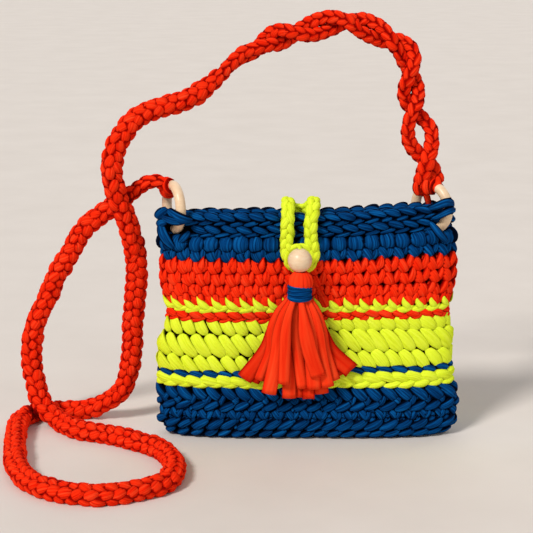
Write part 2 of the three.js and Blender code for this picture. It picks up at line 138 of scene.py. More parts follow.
# Strap
STRAP_HALF = np.array([8.8, 7.2])
STRAP_PITCH = 9.6
STRAP_FACING = (0.0, -0.55, 0.83)
TWIST_HALF = np.array([5.7, 5.3])
TWIST_PITCH = 8.2
TWIST_FACING = (0.0, -0.98, 0.2)
TWIST_LEAD = 9.0
TAIL_MERGE = 34.0
TAIL_SPACING = 0.35
TAIL_SIZE = 0.45
STRAP_GROWS = (10.0, 80.0)
STRAP_SLIMS = (34.0, 6.0)
STRAP_ROLL = 0.45
ROLL_LENGTH = 120.0
RING_FULLNESS = 0.16
RING_FULL = (60.0, 15.0)
CORD_STEP = 1.5
CORD_SPREAD = 0.05
SLANT_SPREAD = 0.3
LEAF_SPREAD = 0.06
CORD_TUCK = 0.68
CORD_END_TUCK = 0.20
CORD_CORE = 0.55
STRAP_RUN_POINTS = [
    (-114, 5, 216), (-123.5, 5, 219), (-132, 6, 219), (-139, 9, 215), (-148, 12, 208), (-158, 14, 201),
    (-168, 16, 194), (-177, 17, 187), (-186, 18, 180), (-194, 20, 170), (-204, 22, 152),
    (-215, 24, 134), (-223, 26, 116), (-232, 27, 98), (-238, 28, 79), (-240, 28, 61), (-238, 26, 43),
    (-234, 22, 26), (-226, 16, 14), (-214, 8, 7), (-197, -13, 7), (-183, -21, 7), (-168, -27, 7),
    (-154, -35, 7), (-140, -46, 7), (-125, -59, 7), (-115, -75, 7), (-108, -98, 7), (-108, -125, 7),
    (-113, -140, 7), (-125, -150, 7), (-137, -158, 7), (-160, -165, 7), (-185, -161, 7),
    (-207, -148, 7), (-224, -127, 7), (-235, -98, 7), (-242, -62, 7), (-247, -26, 7), (-249, 6, 7),
    (-243, 27, 7), (-230, 36, 7), (-217, 37, 7), (-203, 38, 7), (-190, 38, 9), (-178, 35, 15),
    (-167, 33, 22), (-160, 32, 31), (-156, 30, 42), (-153, 29, 54), (-151, 27, 71), (-150, 24, 90),
    (-147, 19, 113), (-145, 13, 137), (-145, 8, 156), (-148, 2, 174), (-152, -3, 192), (-157, -6, 205),
    (-160, -8, 217), (-162, -8, 230), (-161, -6, 241), (-158, -3, 252), (-150, 1, 264), (-140, 4, 274),
    (-129, 6, 279), (-116, 8, 283), (-102, 10, 287), (-91, 12, 293),
]
TWIST_POINTS = [
    (-69, 12, 311), (-61, 11, 319), (-52, 10, 327), (-43, 9, 330), (-32, 12, 332), (-22, 18, 333),
    (-13, 22, 338), (-5, 21, 346), (4, 17, 351), (15, 13, 355), (25, 10, 355), (34, 9, 351),
    (43, 10, 344), (53, 14, 339), (63, 17, 335), (73, 17, 336), (82, 13, 334), (87, 8, 328),
    (88, 4, 320), (85, 2, 311), (81, 4, 301), (81, 8, 290), (86, 11, 281), (94, 9, 274), (101, 6, 267),
    (104, 2, 258), (103, -1, 249), (100, -4, 240), (97, -3, 229), (95, -2, 218),
]
TAIL_POINTS = [
    (-57, 18, 310), (-50, 19, 318), (-43, 20, 326), (-38, 22, 334), (-31, 20, 341), (-22, 13, 345),
    (-12, 9, 343), (-2, 10, 341), (7, 13, 341), (17, 16, 344), (26, 19, 348), (35, 20, 352),
    (45, 18, 353), (54, 14, 351), (62, 10, 346), (68, 6, 339), (73, 6, 330), (78, 10, 322),
    (84, 13, 313), (89, 12, 305), (92, 7, 296), (91, 2, 287), (87, -1, 278), (84, 0, 269), (84, 2, 259),
    (87, 4, 250), (94, 6, 242), (101, 7, 236), (106, 4, 229), (109, 2, 220),
]

# Camera
CAMERA_PLACE = (-33.7, -1238.0, 433.2)
CAMERA_TARGET = (-33.7, -20.0, 152.0)
CAMERA_FIELD = 20.14


# Small sums

def unit(vectors):
    length = np.linalg.norm(vectors, axis=-1, keepdims=True)
    return vectors / np.maximum(length, 1e-9)


def xyz(x, y, z):
    return np.stack(np.broadcast_arrays(x, y, z), axis=-1)


def smoothstep(value, low, high):
    share = np.clip((value - low) / (high - low), 0, 1)
    return share * share * (3 - 2 * share)


def along_line(line):
    """Distance travelled at each point of a line."""
    steps = np.linalg.norm(np.diff(line, axis=0), axis=1)
    return np.concatenate([[0], np.cumsum(steps)])


def sample_at(values, travelled, distance):
    """Vectors known along a line, read off at other distances."""
    return np.stack([np.interp(distance, travelled, values[:, axis]) for axis in range(3)], axis=-1)


def between(first, last, start, end, k):
    return ((end - k) * first + (k - start) * last) / (end - start)


def smooth_line(points, spacing):
    """Evenly spaced points on the centripetal curve through the given points."""
    knots = np.asarray(points, float)
    knots = np.vstack([2 * knots[0] - knots[1], knots, 2 * knots[-1] - knots[-2]])
    pieces = []
    for a, b, c, d in zip(knots, knots[1:], knots[2:], knots[3:]):
        second = np.linalg.norm(b - a) ** 0.5
        third = second + np.linalg.norm(c - b) ** 0.5
        fourth = third + np.linalg.norm(d - c) ** 0.5
        k = np.linspace(second, third, 16, endpoint=False)[:, None]
        ab = between(a, b, 0, second, k)
        bc = between(b, c, second, third, k)
        cd = between(c, d, third, fourth, k)
        abc = between(ab, bc, 0, third, k)
        bcd = between(bc, cd, second, fourth, k)
        pieces.append(between(abc, bcd, second, third, k))
    line = np.vstack([*pieces, knots[-2:-1]])
    travelled = along_line(line)
    count = max(2, round(travelled[-1] / spacing) + 1)
    return sample_at(line, travelled, np.linspace(0, travelled[-1], count))


def bend_through(knots, count):
    """A smooth curve through a few knots, in even steps from knot to knot."""
    knots = np.asarray(knots, float)
    places = np.linspace(0, 1, len(knots))
    fit = np.polynomial.polynomial.polyfit(places, knots, len(knots) - 1)
    return np.polynomial.polynomial.polyval(np.linspace(0, 1, count), fit).T


# Shape of the pouch

def plan_tables():
    """Share of the way round against turn, and the length of the outline at half height."""
    turn = np.linspace(0, 2 * np.pi, 4001)
    half_depth = (BASE_HALF_DEPTH + RIM_HALF_DEPTH) / 2
    x = HALF_WIDTH * np.sin(turn)
    y = -half_depth * np.cos(turn) * np.sqrt(1 + np.sin(turn) ** 2)
    travelled = np.concatenate([[0], np.cumsum(np.hypot(np.diff(x), np.diff(y)))])
    return travelled / travelled[-1], turn, travelled[-1]


SHARES, TURNS, OUTLINE = plan_tables()


def front_face(z):
    """Half the depth of the pouch at a height."""
    return BASE_HALF_DEPTH + (RIM_HALF_DEPTH - BASE_HALF_DEPTH) * z / BAG_HEIGHT


def hump(z, height, reach):
    """1 at a height, dying away above and below it."""
    return np.exp(-(((z - height) / reach) ** 2))


def wall_point(way, z, out):
    """The wall's place some way round from the front middle, at a height and an offset from its face."""
    turn = np.interp(np.mod(way / OUTLINE, 1), SHARES, TURNS)
    rise = np.clip(1 - z / BASE_ROUNDING, 0, 1)
    inset = 1 - np.sqrt(1 - rise**2)
    half_depth = front_face(z) - BASE_INSET_FRONT * inset
    pinch = WAIST_PINCH * hump(z, WAIST_HEIGHT, WAIST_REACH)
    leftness = np.maximum(-np.sin(turn), 0)
    rightness = np.maximum(np.sin(turn), 0)
    belly = LEFT_BELLY * leftness * hump(z, BELLY_HEIGHT, BELLY_REACH)
    tuck = LEFT_TUCK * leftness * smoothstep(z, *TUCK_STARTS) * (1 - smoothstep(z, *TUCK_ENDS))
    flare = (BASE_FLARE_LEFT * leftness + BASE_FLARE_RIGHT * rightness) * (1 - smoothstep(z, *FLARE_ENDS))
    shoulder = SHOULDER_PINCH * smoothstep(z, *SHOULDER_STARTS)
    slimmer = BASE_INSET_SIDE * inset + pinch + shoulder + tuck
    half_width = HALF_WIDTH - EDGE_RELIEF - slimmer + belly + flare
    x = (half_width + out) * np.sin(turn)
    y = -(half_depth + out) * np.cos(turn) * np.sqrt(1 + np.sin(turn) ** 2)
    lift = RIGHT_CORNER_LIFT * smoothstep(x, 0, HALF_WIDTH) * smoothstep(z, BAG_HEIGHT / 2, BAG_HEIGHT)
    slack = smoothstep(z, *SLACK_STARTS) * (1 - smoothstep(z, *SLACK_ENDS))
    sag = LEFT_SAG * slack * (1 - smoothstep(x, *SAG_ENDS))
    return xyz(x, y, z + lift - sag)


def wall_normal(way, z):
    """Outward direction of the wall."""
    round_the_bag = wall_point(way + 1.0, z, 0.0) - wall_point(way - 1.0, z, 0.0)
    upwards = wall_point(way, z + 1.0, 0.0) - wall_point(way, np.maximum(z - 1.0, 0.0), 0.0)
    return unit(np.cross(round_the_bag, upwards))


def ring_frame(joint):
    """Centre, axis and the level direction in the plane of a ring, from its joint."""
    centre = np.array(joint["pos_m"]) / MM
    axis = np.array(joint["axis"])
    return centre, axis, np.array([-axis[1], axis[0], 0.0])


RINGS = {side: ring_frame(joints[f"{side}_ring_turn"]) for side in ("left", "right")}


def clear_of_rings(points):
    """Moves points out of the space that the rings turn in."""
    for centre, axis, _ in RINGS.values():
        from_centre = points - centre
        beside = from_centre @ axis
        in_plane = from_centre - beside[..., None] * axis
        nearest = centre + RING_RADIUS * unit(in_plane)
        away = points - nearest
        distance = np.linalg.norm(away, axis=-1, keepdims=True)
        push = np.maximum(RING_ROD + RING_CLEAR - distance, 0)
        points = points + push * unit(away)
    return points


def above_floor(points):
    """Lifts points that have sunk into the floor."""
    return np.maximum(points, [-1e4, -1e4, 0.05])


def add_object(name, data):
    item = bpy.data.objects.new(name, data)
    bpy.context.scene.collection.objects.link(item)
    return item


# Yarn as swept strands

class Yarn:
    """Strands of yarn gathered into one mesh, with texture coordinates that run along each strand.

    Each point also keeps its painted light: 1 on the outside of a strand, a half along its edges, and 0 on
    what lies underneath, where painted shade darkens the yarn. The turned wood is made in the same way.
    """

    def __init__(self):
        self.points = []
        self.faces = []
        self.coordinates = []
        self.painted_light_values = []
        self.outs = []
        self.count = 0

    def sweep(self, centres, outs, sections, painted_light=0.0):
        """Sweeps closed sections along many lines at once.

        centres and outs are strands x rings x 3, and sections are strands x rings x sides x 2:
        sideways and outwards.
        """
        tangents = unit(np.gradient(centres, axis=1))
        sideways = unit(np.cross(tangents, outs))
        outwards = np.cross(sideways, tangents)
        across = sections[..., :1] * sideways[:, :, None]
        points = centres[:, :, None] + across + sections[..., 1:] * outwards[:, :, None]
        self.add_tubes(points, painted_light, outwards[:, :, None])

    def add_tubes(self, points, painted_light=0.0, outs=0.0):
        """Adds closed tubes given as strands x rings x sides x 3 points, by default in full painted shade.
        """
        strands, rings, sides, _ = points.shape
        index = np.arange(strands * rings * sides).reshape(strands, rings, sides) + self.count
        after = np.roll(index, -1, axis=2)
        quads = np.stack([index[:, :-1], after[:, :-1], after[:, 1:], index[:, 1:]], axis=-1)
        self.points.append(points.reshape(-1, 3))
        self.painted_light_values.append(np.broadcast_to(painted_light, points.shape[:3]).ravel())
        self.outs.append(np.broadcast_to(outs, points.shape).reshape(-1, 3))
        self.count += strands * rings * sides

        middle = points.mean(axis=2)
        steps = np.linalg.norm(np.diff(middle, axis=1), axis=-1)
        length = np.concatenate([np.zeros((strands, 1)), np.cumsum(steps, axis=1)], axis=1)
        belt = points[:, rings // 2]
        girth = np.linalg.norm(belt - np.roll(belt, -1, axis=1), axis=-1).sum(axis=1)
        start = chance.random((strands, 1, 1)) * TEXTURE_SPREAD
        v = length[:, :, None] + start + np.zeros(sides + 1)
        u = np.linspace(0, 1, sides + 1) * girth[:, None, None] + TEXTURE_SLANT * start
        u = u + np.zeros((1, rings, 1))
        uv = np.stack([u, v], axis=-1)
        corners = np.stack([uv[:, :-1, :-1], uv[:, :-1, 1:], uv[:, 1:, 1:], uv[:, 1:, :-1]], axis=-2)
        self.faces.extend(quads.reshape(-1, 4).tolist())
        self.coordinates.append(corners.reshape(-1, 2))
        for ring, order in ((0, -1), (rings - 1, 1)):
            self.faces.extend(index[:, ring, ::order].tolist())
            self.coordinates.append(uv[:, ring, :-1][:, ::order].reshape(-1, 2))

    def leaves(self, centres, outs, width, depth, plump=0.5, tip=0.2, peak=0.5, sides=14, folds=0.05,
               flat=1.0, shade=EDGE_SHADE):
        """Plump tapering strands. width and depth are half sizes, peak is where each is widest.

        A flat of less than 1 gives a broad face with steep edges, and shade is how far in from its edges the
        colour is darkened as painted shade.
        """
        strands, rings, _ = centres.shape
        share = np.linspace(0, 1, rings) ** (math.log(0.5) / math.log(peak))
        swell = tip + (1 - tip) * np.sin(np.pi * share) ** plump
        swell[[0, -1]] *= END_TAPER
        turn = np.linspace(0, 2 * np.pi, sides, endpoint=False)
        phase = chance.random((strands, 1)) * 2 * np.pi
        ridges = 1 + folds * np.cos(5 * turn + phase) + folds * np.cos(2 * turn + 2 * phase)
        size = 1 + SIZE_SPREAD * chance.standard_normal((strands, 1, 1))
        width = np.reshape(width, (-1, 1, 1)) * size * swell[:, None]
        depth = np.reshape(depth, (-1, 1, 1)) * size * swell[:, None]
        across = width * (ridges * np.cos(turn))[:, None]
        outward = depth * (ridges * np.sign(np.sin(turn)) * np.abs(np.sin(turn)) ** flat)[:, None]
        # Painted shade: darker colour along each strand's edges, where it turns away from the light
        from_edge = width * (1 - np.abs(np.cos(turn)))
        painted_light = 0.5 + 0.5 * np.minimum(1, from_edge / shade)
        self.sweep(centres, outs, np.stack([across, outward], axis=-1), painted_light)

    def leaf(self, line, outs, width, depth, **shape):
        """One plump tapering strand."""
        outs = np.broadcast_to(outs, line.shape)
        self.leaves(line[None], outs[None], width, depth, **shape)

    def rope(self, line, outs, width, depth, sides=10):
        """One plain strand. width and depth are half sizes, even or given along the line."""
        turn = np.linspace(0, 2 * np.pi, sides, endpoint=False)
        across = np.broadcast_to(width, len(line))[:, None] * np.cos(turn)
        outward = np.broadcast_to(depth, len(line))[:, None] * np.sin(turn)
        outs = np.broadcast_to(outs, line.shape)
        self.sweep(line[None], outs[None], np.stack([across, outward], axis=-1)[None], 1.0)

    def with_painted_crease_shade(self, points):
        """The painted light, lowered to painted shade where another strand lies over a point, as in a
        crease.
        """
        painted_light_values = np.concatenate(self.painted_light_values)
        outs = np.concatenate(self.outs)
        tree = BVHTree.FromPolygons(points.tolist(), self.faces)
        for number in np.flatnonzero(painted_light_values > BURIED_PAINTED_LIGHT):
            start = points[number] + RAY_START * outs[number]
            if tree.ray_cast(start, outs[number], RAY_REACH)[0] is not None:
                painted_light_values[number] = BURIED_PAINTED_LIGHT
        return painted_light_values

    def mesh(self, name, material, moved=None, shade_creases=False):
        """Makes the mesh object. moved may shift the points first, and the last flag paints shade into
        creases.
        """
        points = np.concatenate(self.points)
        if moved is not None:
            points = moved(points)
        mesh = bpy.data.meshes.new(name)
        mesh.from_pydata((points * MM).tolist(), [], self.faces)
        layer = mesh.uv_layers.new(name="strand")
        layer.data.foreach_set("uv", (np.concatenate(self.coordinates) * MM).ravel())
        painted_light = mesh.attributes.new("painted_light", "FLOAT", "POINT")
        painted_light_values = self.with_painted_crease_shade(points) if shade_creases else np.concatenate(self.painted_light_values)
        painted_light.data.foreach_set("value", painted_light_values)
        mesh.polygons.foreach_set("use_smooth", np.ones(len(mesh.polygons), bool))
        mesh.materials.append(material)
        return add_object(name, mesh)


def drifted(way, drift):
    """Lets the stitches right of the front middle run ahead of those on the left."""
    half = OUTLINE / 2
    way = np.mod(way + half, OUTLINE) - half
    return way + drift * (smoothstep(way, *DRIFT_STARTS) - smoothstep(way, DRIFT_RETURNS * half, half))


# Places where the ends of a ring come out between the stitches, with the distance kept free
WINDOWS = [((-108.5, -12.0, 180.5), 8.0), ((-106.0, -15.0, 190.0), 8.4), ((96.5, 11.0, 184.0), 6.5)]


def wall_row(yarn, count, path, width, depth, shift=0.0, drift=0.0, lean=0.0, upward=0.0, **shape):
    """A row of equal strands round the pouch. path holds the stitch, height and offset of knots along one.

    shift and drift are in stitches, lean lifts one long edge of each strand over the next, and upward
    turns the outside of the strands from the wall's own direction to straight up.
    """
    pitch = OUTLINE / count
    knots = bend_through(path, STITCH_RINGS)
    number = np.arange(count)[:, None]
    jitter = STITCH_SPREAD * chance.standard_normal((count, 1))
    middle = drifted((number + shift + jitter) * pitch, drift * pitch)
    way = middle + knots[:, 0] * pitch
    z = np.maximum(knots[:, 1] + HEIGHT_SPREAD * chance.standard_normal((count, 1)), LOWEST)
    out = knots[:, 2] + OUT_SPREAD * chance.standard_normal((count, 1))
    centres = wall_point(way, z, out)
    outs = (1 - upward) * wall_normal(way, z) + upward * UP
    sideways = np.cross(unit(np.gradient(centres, axis=1)), outs)
    clear = np.ones(count, bool)
    for window, reach in WINDOWS:
        clear &= np.linalg.norm(centres[:, STITCH_RINGS // 2] - window, axis=-1) > reach
    yarn.leaves(centres[clear], unit(outs + lean * sideways)[clear], width, depth, **shape)


def band(bottom, top, inside=(), outer=BELT_OUT):
    """The dense inside of a band: a closed belt, with flat leaves inside the pouch at some heights."""
    levels = np.linspace(bottom, top, max(2, round((top - bottom) / BELT_STEP) + 1))
    way = np.linspace(0, OUTLINE, BELT_COLUMNS, endpoint=False)
    belt = [wall_point(way, np.full(BELT_COLUMNS, z), outer) for z in levels]
    belt += [wall_point(way, np.full(BELT_COLUMNS, z), -WALL) for z in levels[::-1]]
    section = np.stack(belt, axis=1)
    yarn = Yarn()
    # The belt keeps a painted light of 0: it is painted in full shade.
    yarn.add_tubes(np.concatenate([section, section[:1]])[None])
    inside_rows(yarn, inside)
    return yarn


def inside_rows(yarn, heights):
    """Flat leaves inside the pouch, slanting the other way in every second row."""
    count = 40
    slant = 4.0
    offset = -8.6
    share = np.linspace(-0.5, 0.5, 7)
    way = (np.arange(count)[:, None] + np.linspace(-0.6, 0.6, 7)) * OUTLINE / count
    for row, height in enumerate(heights):
        z = np.broadcast_to(height + slant * share * (-1) ** row, way.shape)
        yarn.leaves(wall_point(way, z, offset), -wall_normal(way, z), 3.6, 1.5, sides=8)


# Materials

def new_material(name):
    material = bpy.data.materials.new(name)
    material.use_nodes = True
    tree = material.node_tree
    return material, tree, tree.nodes["Principled BSDF"]


def set_values(node, settings):
    for key, value in settings.items():
        node.inputs[key].default_value = value


def add_node(tree, kind, **settings):
    node = tree.nodes.new(kind)
    set_values(node, settings)
    return node


def stretched_noise(tree, source, stretch, detail):
    mapping = add_node(tree, "ShaderNodeMapping", Scale=stretch)
    noise = add_node(tree, "ShaderNodeTexNoise", Scale=1.0, Detail=detail, Roughness=0.6)
    tree.links.new(source, mapping.inputs["Vector"])
    tree.links.new(mapping.outputs["Vector"], noise.inputs["Vector"])
    return noise.outputs["Fac"]


def colour_steps(tree, factor, steps):
    ramp = tree.nodes.new("ShaderNodeValToRGB")
    elements = ramp.color_ramp.elements
    while len(elements) < len(steps):
        elements.new(0.5)
    for element, (place, colour) in zip(elements, steps):
        element.position = place
        element.color = (*colour, 1)
    tree.links.new(factor, ramp.inputs["Fac"])
    return ramp.outputs["Color"]


def mottled(tree, shader, stretch, steps):
    """Colours a surface by noise fixed to the object, and gives that noise."""
    spot = tree.nodes.new("ShaderNodeTexCoord")
    noise = stretched_noise(tree, spot.outputs["Object"], stretch, 3.0)
    tree.links.new(colour_steps(tree, noise, steps), shader.inputs["Base Color"])
    return noise


def bump(tree, height, strength, distance, below=None):
    node = add_node(tree, "ShaderNodeBump", Strength=strength, Distance=distance)
    tree.links.new(height, node.inputs["Height"])
    if below is not None:
        tree.links.new(below, node.inputs["Normal"])
    return node.outputs["Normal"]


def times(tree, first, second):
    """The product of two colours."""
    mix = tree.nodes.new("ShaderNodeMix")
    mix.data_type = "RGBA"
    mix.blend_type = "MULTIPLY"
    mix.inputs["Factor"].default_value = 1.0
    tree.links.new(first, mix.inputs[6])
    tree.links.new(second, mix.inputs[7])
    return mix.outputs[2]


def jersey_material(name, painted_shade_steps, fold_shade_and_highlight, weave):
    """Jersey: folds, fine fibre, painted shade in folds and between strands, and painted highlight on
    ridges.

    The first colour steps give the share of the colour that painted shade leaves, from underneath a strand
    to its outside, and the shades go from painted shade in the folds to painted highlight on the ridges.
    """
    material, tree, shader = new_material(name)
    strand = tree.nodes.new("ShaderNodeUVMap")
    strand.uv_map = "strand"
    painted_light = tree.nodes.new("ShaderNodeAttribute")
    painted_light.attribute_name = "painted_light"
    folds = stretched_noise(tree, strand.outputs["UV"], weave["folds"], weave["fold_detail"])
    fibre = stretched_noise(tree, strand.outputs["UV"], weave["fibre"], 2.0)
    # Painted shade in the folds and painted highlight on the ridges, from the noise that also drives the
    # bump
    painted_fold_colour = colour_steps(tree, folds, list(zip(weave["steps"], fold_shade_and_highlight)))
    # Painted shade along strand edges and under other strands, from the painted light of each point
    depth = colour_steps(tree, painted_light.outputs["Fac"], painted_shade_steps)
    tree.links.new(times(tree, painted_fold_colour, depth), shader.inputs["Base Color"])
    folded = bump(tree, folds, weave["relief"], weave["fold_depth"])
    fuzzy = bump(tree, fibre, weave["fuzz"], weave["fibre_depth"], folded)
    tree.links.new(fuzzy, shader.inputs["Normal"])
    set_values(shader, {"Roughness": 0.9, "Specular IOR Level": 0.03})
    return material


def wood_material(name):
    """Pale varnished wood with faint grain."""
    material, tree, shader = new_material(name)
    colours = [(0.30, (0.80, 0.555, 0.335)), (0.70, (0.88, 0.665, 0.445))]
    grain = mottled(tree, shader, (160, 160, 520), colours)
    tree.links.new(bump(tree, grain, 0.05, 0.0002), shader.inputs["Normal"])
    set_values(shader, {"Roughness": 0.42, "Coat Weight": 0.2, "Coat Roughness": 0.25})
    return material


# Folds and fibre of twisted yarn, of the smoother yellow yarn and of flat cut strips
YARN_WEAVE = {
    "folds": (760, 42, 1), "fold_detail": 3.0, "fold_depth": 0.0016, "relief": 0.9,
    "fibre": (3000, 700, 1), "fibre_depth": 0.0004, "fuzz": 0.3, "steps": (0.33, 0.50, 0.72),
}
SMOOTH_WEAVE = {**YARN_WEAVE, "relief": 0.65}
STRIP_WEAVE = {
    "folds": (170, 14, 1), "fold_detail": 2.0, "fold_depth": 0.002, "relief": 0.35,
    "fibre": (2200, 900, 1), "fibre_depth": 0.0005, "fuzz": 0.35, "steps": (0.30, 0.48, 0.70),
}
ALL = (1, 1, 1)
# Painted shade against the painted light of each point: dark underneath and along edges, full colour outside
NAVY_PAINTED_SHADE = [(0.3, (0.02, 0.03, 0.04)), (0.73, (0.06, 0.08, 0.10)), (0.85, (0.46, 0.48, 0.50)), (0.95, ALL)]
RED_PAINTED_SHADE = [(0.3, (0.14, 0.02, 0.02)), (0.70, (0.40, 0.08, 0.06)), (0.83, (0.82, 0.62, 0.58)), (0.94, ALL)]
YELLOW_PAINTED_SHADE = [(0.2, (0.03, 0.02, 0.0)), (0.45, (0.20, 0.17, 0.04)), (0.56, (0.80, 0.77, 0.5)), (0.72, ALL)]
# From painted shade in the folds, through the yarn's own colour, to painted highlight on the ridges
NAVY_FOLD_SHADE_AND_HIGHLIGHT = [(0.0004, 0.015, 0.066), (0.0008, 0.047, 0.182), (0.0035, 0.130, 0.410)]
RED_FOLD_SHADE_AND_HIGHLIGHT = [(0.80, 0.010, 0.001), (0.98, 0.030, 0.004), (1.0, 0.072, 0.020)]
STRIP_FOLD_SHADE_AND_HIGHLIGHT = [(0.86, 0.022, 0.004), (0.98, 0.046, 0.009), (1, 0.075, 0.018)]
YELLOW_FOLD_SHADE_AND_HIGHLIGHT = [(0.69, 0.83, 0.017), (0.79, 0.95, 0.036), (0.86, 0.99, 0.065)]
NAVY = jersey_material("navy_yarn", NAVY_PAINTED_SHADE, NAVY_FOLD_SHADE_AND_HIGHLIGHT, YARN_WEAVE)
RED = jersey_material("red_yarn", RED_PAINTED_SHADE, RED_FOLD_SHADE_AND_HIGHLIGHT, YARN_WEAVE)
CUT_RED = jersey_material("red_strip", RED_PAINTED_SHADE, STRIP_FOLD_SHADE_AND_HIGHLIGHT, STRIP_WEAVE)
YELLOW = jersey_material("yellow_yarn", YELLOW_PAINTED_SHADE, YELLOW_FOLD_SHADE_AND_HIGHLIGHT, SMOOTH_WEAVE)
WOOD = wood_material("pale_wood")


# Bands of the pouch

def v_row(yarn, count, apex, shift, drift=0.0, reach=14.2):
    """Crochet V stitches: a fat left leg, and in front of it a slim right leg that reaches up to a point.

    The foot of each stitch lies over the top of the row below.
    """
    broad = [(-0.48, apex + 12.4, -5.4), (-0.22, apex + 6.0, -1.6), (0.10, apex - 0.6, -2.3)]
    slim = [(0.14, apex + 0.6, -3.2), (0.32, apex + 0.5 * reach, -0.7), (0.36, apex + reach, -1.2)]
    wall_row(yarn, count, broad, V_FAT, 3.8, shift, drift, plump=0.45, tip=0.3)
    wall_row(yarn, count, slim, V_SLIM, 3.2, shift, drift, peak=0.44, plump=0.7, tip=0.06)


def navy_top():
    """The rim, two chains under it, fat barrel stitches and a row of Vs."""
    yarn = band(156, 191, (162, 170, 178, 186))
    count = 40
    row = partial(wall_row, yarn, count)
    rim = [(-0.62, 191.0, -7.8), (0.0, 192.6, -7.2), (0.62, 191.4, -6.2)]
    upper_fat = [(-0.62, 193.6, -4.8), (0.0, 191.9, -1.9), (0.66, 188.9, -3.2)]
    upper_slim = [(-0.62, 185.2, -3.6), (0.0, 187.2, -2.3), (0.58, 188.6, -4.8)]
    lower_fat = [(-0.62, 184.2, -4.8), (0.0, 182.2, -1.8), (0.66, 178.9, -3.2)]
    lower_slim = [(-0.64, 175.4, -3.6), (0.0, 177.2, -2.3), (0.60, 178.4, -4.8)]
    barrel = [(0.02, 163.8, -2.4), (0.0, 169.2, -0.5), (-0.02, 175.4, -5.0)]
    row(rim, 3.2, 3.0, 0.4, upward=1.0, shade=0.2)
    row(upper_fat, 3.6, 3.5, -0.34, upward=0.3, peak=0.54, tip=0.1)
    row(upper_slim, 2.5, 2.9, 0.35, tip=0.1)
    row(lower_fat, 3.5, 3.5, -0.18, peak=0.54, tip=0.1)
    row(lower_slim, 2.4, 2.9, 0.41, tip=0.1)
    v_row(yarn, count, 155.2, -0.18, 0.26, reach=12.8)
    row(barrel, 8.0, 4.7, -0.30, 0.5, plump=0.55, tip=0.3, folds=0.04)
    return yarn.mesh("navy_top", NAVY, clear_of_rings, shade_creases=True)


def red_rows():
    """Four rows of Vs, and teeth that reach up into the navy band."""
    yarn = band(117, 156, (120, 128, 136, 144, 152))
    v_row(yarn, 41, 144.0, -0.20, -0.33)
    v_row(yarn, 41, 134.0, 0.03, -0.40)
    v_row(yarn, 42, 123.7, 0.18)
    v_row(yarn, 42, 116.0, 0.26)
    tooth = [(0.16, 147.0, -1.2), (0.30, 152.6, 0.9), (0.38, 160.4, 0.9)]
    wall_row(yarn, 41, tooth, 3.6, 2.0, -0.20, -0.33, peak=0.42, plump=1.0, tip=0.03)
    return yarn.mesh("red_rows", RED, shade_creases=True)


def yellow_spikes():
    """A chain whose pointed strands reach up into the red band."""
    yarn = band(113, 118)
    row = partial(wall_row, yarn, 43)
    tooth = [(-0.16, 125.4, 1.7), (0.04, 119.6, 2.0), (0.40, 116.2, 1.4), (0.92, 114.0, -1.0)]
    chain = [(-0.85, 113.2, -1.8), (0.0, 114.8, 0.0), (0.80, 117.4, -1.8)]
    row(tooth, 3.1, 1.8, 0.45, 0.35, peak=0.50, plump=1.0, tip=0.02)
    row(chain, 3.2, 2.5, 0.75, 0.35)
    return yarn.mesh("yellow_spikes", YELLOW, shade_creases=True)


def red_chain():
    """A thin chain of red leaves."""
    yarn = band(104, 113)
    row = partial(wall_row, yarn, 44)
    edge = [(-0.70, 105.6, -3.2), (0.0, 107.0, -1.6), (0.66, 109.4, -3.4)]
    leaf = [(-0.70, 112.6, -3.4), (0.0, 110.8, -0.8), (0.66, 107.2, -2.8)]
    row(edge, 2.8, 2.5, 0.0, 0.2)
    row(leaf, 4.0, 3.2, -0.43, 0.2, peak=0.54)
    return yarn.mesh("red_chain", RED, shade_creases=True)


def yellow_rows():
    """Three rows of broad smooth leaves with gaps between them."""
    yarn = band(60, 106, (62, 70, 84, 90, 102), -5.6)
    row = partial(wall_row, yarn, 45)
    smooth = {"plump": 0.55, "tip": 0.3, "peak": 0.42, "folds": 0.03, "lean": 0.16, "flat": 0.6, "sides": 18}
    high = [(-0.74, 109.0, -4.4), (0.0, 102.5, -1.4), (0.60, 96.0, -2.4)]
    middle = [(-0.80, 96.6, -3.2), (0.0, 87.0, -1.1), (0.82, 76.9, -2.4)]
    low = [(-0.62, 77.6, -3.2), (0.0, 70.0, -1.3), (0.62, 61.0, -3.0)]
    row(low, 5.8, 1.8, 0.46, **smooth)
    row(middle, 6.0, 1.9, 0.24, **smooth)
    row(high, 5.8, 1.9, -0.04, **smooth)
    return yarn.mesh("yellow_rows", YELLOW, shade_creases=True)


def navy_line():
    """One thin row of navy leaves."""
    yarn = band(57, 64)
    leaf = [(-0.66, 63.8, -3.6), (0.0, 62.0, -1.5), (0.64, 59.4, -3.2)]
    wall_row(yarn, 41, leaf, 3.5, 2.7, 0.6, -0.26)
    return yarn.mesh("navy_line", NAVY, shade_creases=True)


def yellow_chain():
    """A chain of yellow arches with an edge under it."""
    yarn = band(45.4, 57)
    edge = [(-0.74, 47.8, -2.4), (0.0, 49.4, -0.6), (0.74, 52.6, -2.6)]
    arch = [(-0.78, 55.6, -2.8), (-0.05, 55.8, -0.2), (0.76, 49.6, -2.2)]
    wall_row(yarn, 41, edge, 3.1, 2.6, 0.0, -0.25)
    wall_row(yarn, 41, arch, 4.5, 3.1, -0.43, -0.25, peak=0.46)
    return yarn.mesh("yellow_chain", YELLOW, shade_creases=True)


